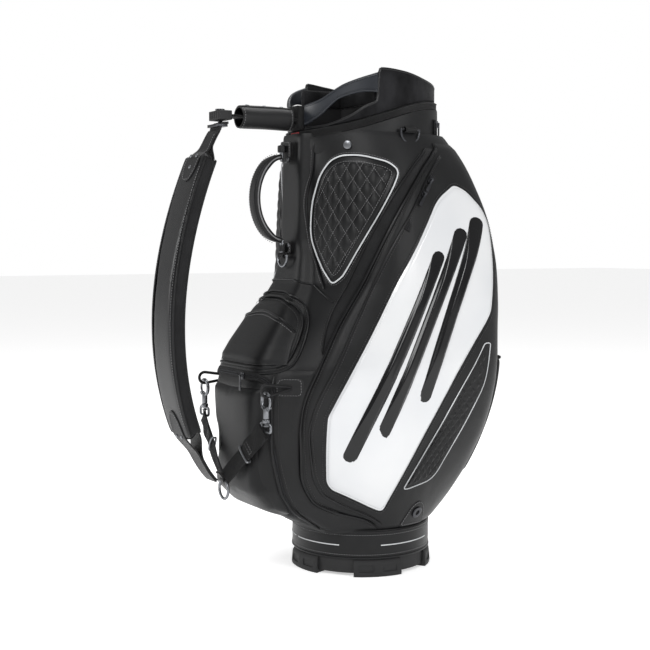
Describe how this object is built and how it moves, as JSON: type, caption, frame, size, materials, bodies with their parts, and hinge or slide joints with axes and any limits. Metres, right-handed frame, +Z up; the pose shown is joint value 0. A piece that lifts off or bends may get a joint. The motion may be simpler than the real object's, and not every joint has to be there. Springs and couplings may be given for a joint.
{
  "type": "golf staff bag",
  "caption": "Tall golf staff bag with a divided club well, zipped pockets, carry handle and padded shoulder strap on clip hooks, standing on a moulded foot base.",
  "frame": {"origin": "centre of the base on the floor, on the club tube's axis", "axes": "+Z up the club tube, -Y towards the handle and shoulder strap, +X towards the side pocket on the bag's left hand when it faces you"},
  "size_m": [0.3798, 0.6007, 0.8948],
  "materials": {
    "base_rubber": "matte moulded rubber",
    "pu_black": "satin coated fabric",
    "pu_quilted": "quilted satin coated fabric",
    "pu_white": "glossy patent coating",
    "stretch_fabric": "knitted stretch fabric",
    "liner_fabric": "woven lining",
    "aluminium_rod": "drawn",
    "zip_tape": "woven tape with coil",
    "gunmetal": "dark polished plating",
    "velvet": "short pile velvet",
    "ribbed_trim": "ribbed moulding",
    "moulded_strip": "smooth satin moulding",
    "leather": "grained leather",
    "webbing": "woven nylon webbing"
  },
  "bodies": {
    "bag": {"base_cup": "base_rubber", "base_feet": "base_rubber", "base_band": "pu_black", "liner_tube": "liner_fabric", "stay_rods": "aluminium_rod", "ball_pocket": "pu_black", "front_gussets": "stretch_fabric", "valuables_pocket": "pu_black", "neck_sheath_left": "pu_black", "neck_sheath_right": "pu_black", "side_pocket_left": "pu_black", "side_pocket_right": "pu_black", "back_panel": "pu_black", "yoke": "pu_black", "spine_panel": "pu_black", "white_panels": "pu_white", "quilt_panels": "pu_quilted", "lower_quilts": "pu_quilted", "mesh_pockets": "stretch_fabric", "pocket_piping": "pu_black", "zip_tapes": "zip_tape", "umbrella_eyelets": "gunmetal", "collar_wall": "velvet", "trim_ring": "ribbed_trim", "grab_strips": "moulded_strip", "divider_bars": "velvet", "well_dividers": "liner_fabric", "strap_post": "ribbed_trim", "handle_anchors": "leather", "rivets": "gunmetal", "ring_tabs": "webbing", "anchor_loops": "leather", "hook_webbing": "webbing", "strap_ring": "gunmetal", "top_webbing": "webbing", "strap_buckle": "gunmetal"},
    "carry_handle": {"carry_handle": "leather"},
    "front_ring": {"front_ring": "gunmetal"},
    "side_ring_left": {"side_ring_left": "gunmetal"},
    "side_ring_right": {"side_ring_right": "gunmetal"},
    "ball_slider": {"ball_slider": "gunmetal"},
    "ball_pull": {"ball_pull": "gunmetal"},
    "rear_slider_left": {"rear_slider_left": "gunmetal"},
    "rear_slider_right": {"rear_slider_right": "gunmetal"},
    "leather_sleeve": {"leather_sleeve": "leather"},
    "shoulder_strap": {"strap_pad": "pu_black", "strap_leathers": "leather", "strap_swivel": "gunmetal"},
    "side_slider_low_left": {"side_slider_low_left": "gunmetal"},
    "side_pull_low_left": {"side_pull_low_left": "gunmetal"},
    "side_slider_high_left": {"side_slider_high_left": "gunmetal"},
    "side_pull_high_left": {"side_pull_high_left": "gunmetal"},
    "snap_hook_left": {"snap_hook_left": "gunmetal"},
    "hook_gate_left": {"hook_gate_left": "gunmetal"},
    "side_slider_low_right": {"side_slider_low_right": "gunmetal"},
    "side_pull_low_right": {"side_pull_low_right": "gunmetal"},
    "side_slider_high_right": {"side_slider_high_right": "gunmetal"},
    "side_pull_high_right": {"side_pull_high_right": "gunmetal"},
    "snap_hook_right": {"snap_hook_right": "gunmetal"},
    "hook_gate_right": {"hook_gate_right": "gunmetal"}
  },
  "joints": [
    {"name": "strap_swing", "type": "hinge", "parent": "bag", "child": "shoulder_strap", "pos_m": [0, -0.288, 0.811], "axis": [0, 0, 1], "range_deg": [-40, 40]},
    {"name": "handle_swing", "type": "hinge", "parent": "bag", "child": "carry_handle", "pos_m": [0, -0.167, 0.6716], "axis": [0, 0, 1], "range_deg": [-60, 60]},
    {"name": "front_ring_swing", "type": "hinge", "parent": "bag", "child": "front_ring", "pos_m": [0, -0.166, 0.5712], "axis": [-1, 0, 0], "range_deg": [0, 100]},
    {"name": "side_ring_swing_right", "type": "hinge", "parent": "bag", "child": "side_ring_right", "pos_m": [0.1458, 0.00764, 0.79], "axis": [0.0523, -0.9986, 0], "range_deg": [0, 100]},
    {"name": "side_ring_swing_left", "type": "hinge", "parent": "bag", "child": "side_ring_left", "pos_m": [-0.1458, 0.00764, 0.79], "axis": [0.0523, 0.9986, 0], "range_deg": [0, 100]},
    {"name": "side_zip_low_right", "type": "slide", "parent": "bag", "child": "side_slider_low_right", "axis": [0.1414, -0.5628, -0.8144], "range_m": [0, 0.058]},
    {"name": "side_zip_high_right", "type": "slide", "parent": "bag", "child": "side_slider_high_right", "axis": [-0.1414, 0.5628, 0.8144], "range_m": [0, 0.01]},
    {"name": "side_pull_low_right_swing", "type": "hinge", "parent": "side_slider_low_right", "child": "side_pull_low_right", "pos_m": [0.17926, 0.01747, 0.67921], "axis": [0.05, -0.8175, 0.5737], "range_deg": [0, 120]},
    {"name": "side_pull_high_right_swing", "type": "hinge", "parent": "side_slider_high_right", "child": "side_pull_high_right", "pos_m": [0.17502, 0.03435, 0.70364], "axis": [0.05, -0.8175, 0.5737], "range_deg": [0, 150]},
    {"name": "rear_zip_right", "type": "slide", "parent": "bag", "child": "rear_slider_right", "axis": [0, 0, -1], "range_m": [0, 0.028]},
    {"name": "hook_swivel_right", "type": "hinge", "parent": "bag", "child": "snap_hook_right", "pos_m": [0.118, -0.264, 0.3], "axis": [0, 0, 1], "range_deg": [-25, 25]},
    {"name": "hook_gate_right_press", "type": "hinge", "parent": "snap_hook_right", "child": "hook_gate_right", "pos_m": [0.12773, -0.264, 0.31893], "axis": [0, -1, 0], "range_deg": [0, 20], "stiffness_Nm_per_rad": 0.02, "springref_deg": -17.19},
    {"name": "side_zip_low_left", "type": "slide", "parent": "bag", "child": "side_slider_low_left", "axis": [-0.1414, -0.5628, -0.8144], "range_m": [0, 0.058]},
    {"name": "side_zip_high_left", "type": "slide", "parent": "bag", "child": "side_slider_high_left", "axis": [0.1414, 0.5628, 0.8144], "range_m": [0, 0.01]},
    {"name": "side_pull_low_left_swing", "type": "hinge", "parent": "side_slider_low_left", "child": "side_pull_low_left", "pos_m": [-0.17926, 0.01747, 0.67921], "axis": [0.05, 0.8175, -0.5737], "range_deg": [0, 120]},
    {"name": "side_pull_high_left_swing", "type": "hinge", "parent": "side_slider_high_left", "child": "side_pull_high_left", "pos_m": [-0.17502, 0.03435, 0.70364], "axis": [0.05, 0.8175, -0.5737], "range_deg": [0, 150]},
    {"name": "rear_zip_left", "type": "slide", "parent": "bag", "child": "rear_slider_left", "axis": [0, 0, -1], "range_m": [0, 0.028]},
    {"name": "hook_swivel_left", "type": "hinge", "parent": "bag", "child": "snap_hook_left", "pos_m": [-0.118, -0.264, 0.3], "axis": [0, 0, 1], "range_deg": [-25, 25]},
    {"name": "hook_gate_left_press", "type": "hinge", "parent": "snap_hook_left", "child": "hook_gate_left", "pos_m": [-0.12773, -0.264, 0.31893], "axis": [0, 1, 0], "range_deg": [0, 20], "stiffness_Nm_per_rad": 0.02, "springref_deg": -17.19},
    {"name": "ball_zip", "type": "slide", "parent": "bag", "child": "ball_slider", "axis": [-1, 0, 0], "range_m": [-0.028, 0.104]},
    {"name": "ball_pull_swing", "type": "hinge", "parent": "ball_slider", "child": "ball_pull", "pos_m": [0.038, -0.27076, 0.36588], "axis": [-1, 0, 0], "range_deg": [0, 150]},
    {"name": "sleeve_turn", "type": "hinge", "parent": "bag", "child": "leather_sleeve", "pos_m": [0, -0.2, 0.811], "axis": [0, 1, 0], "range_deg": [-30, 30]}
  ]
}
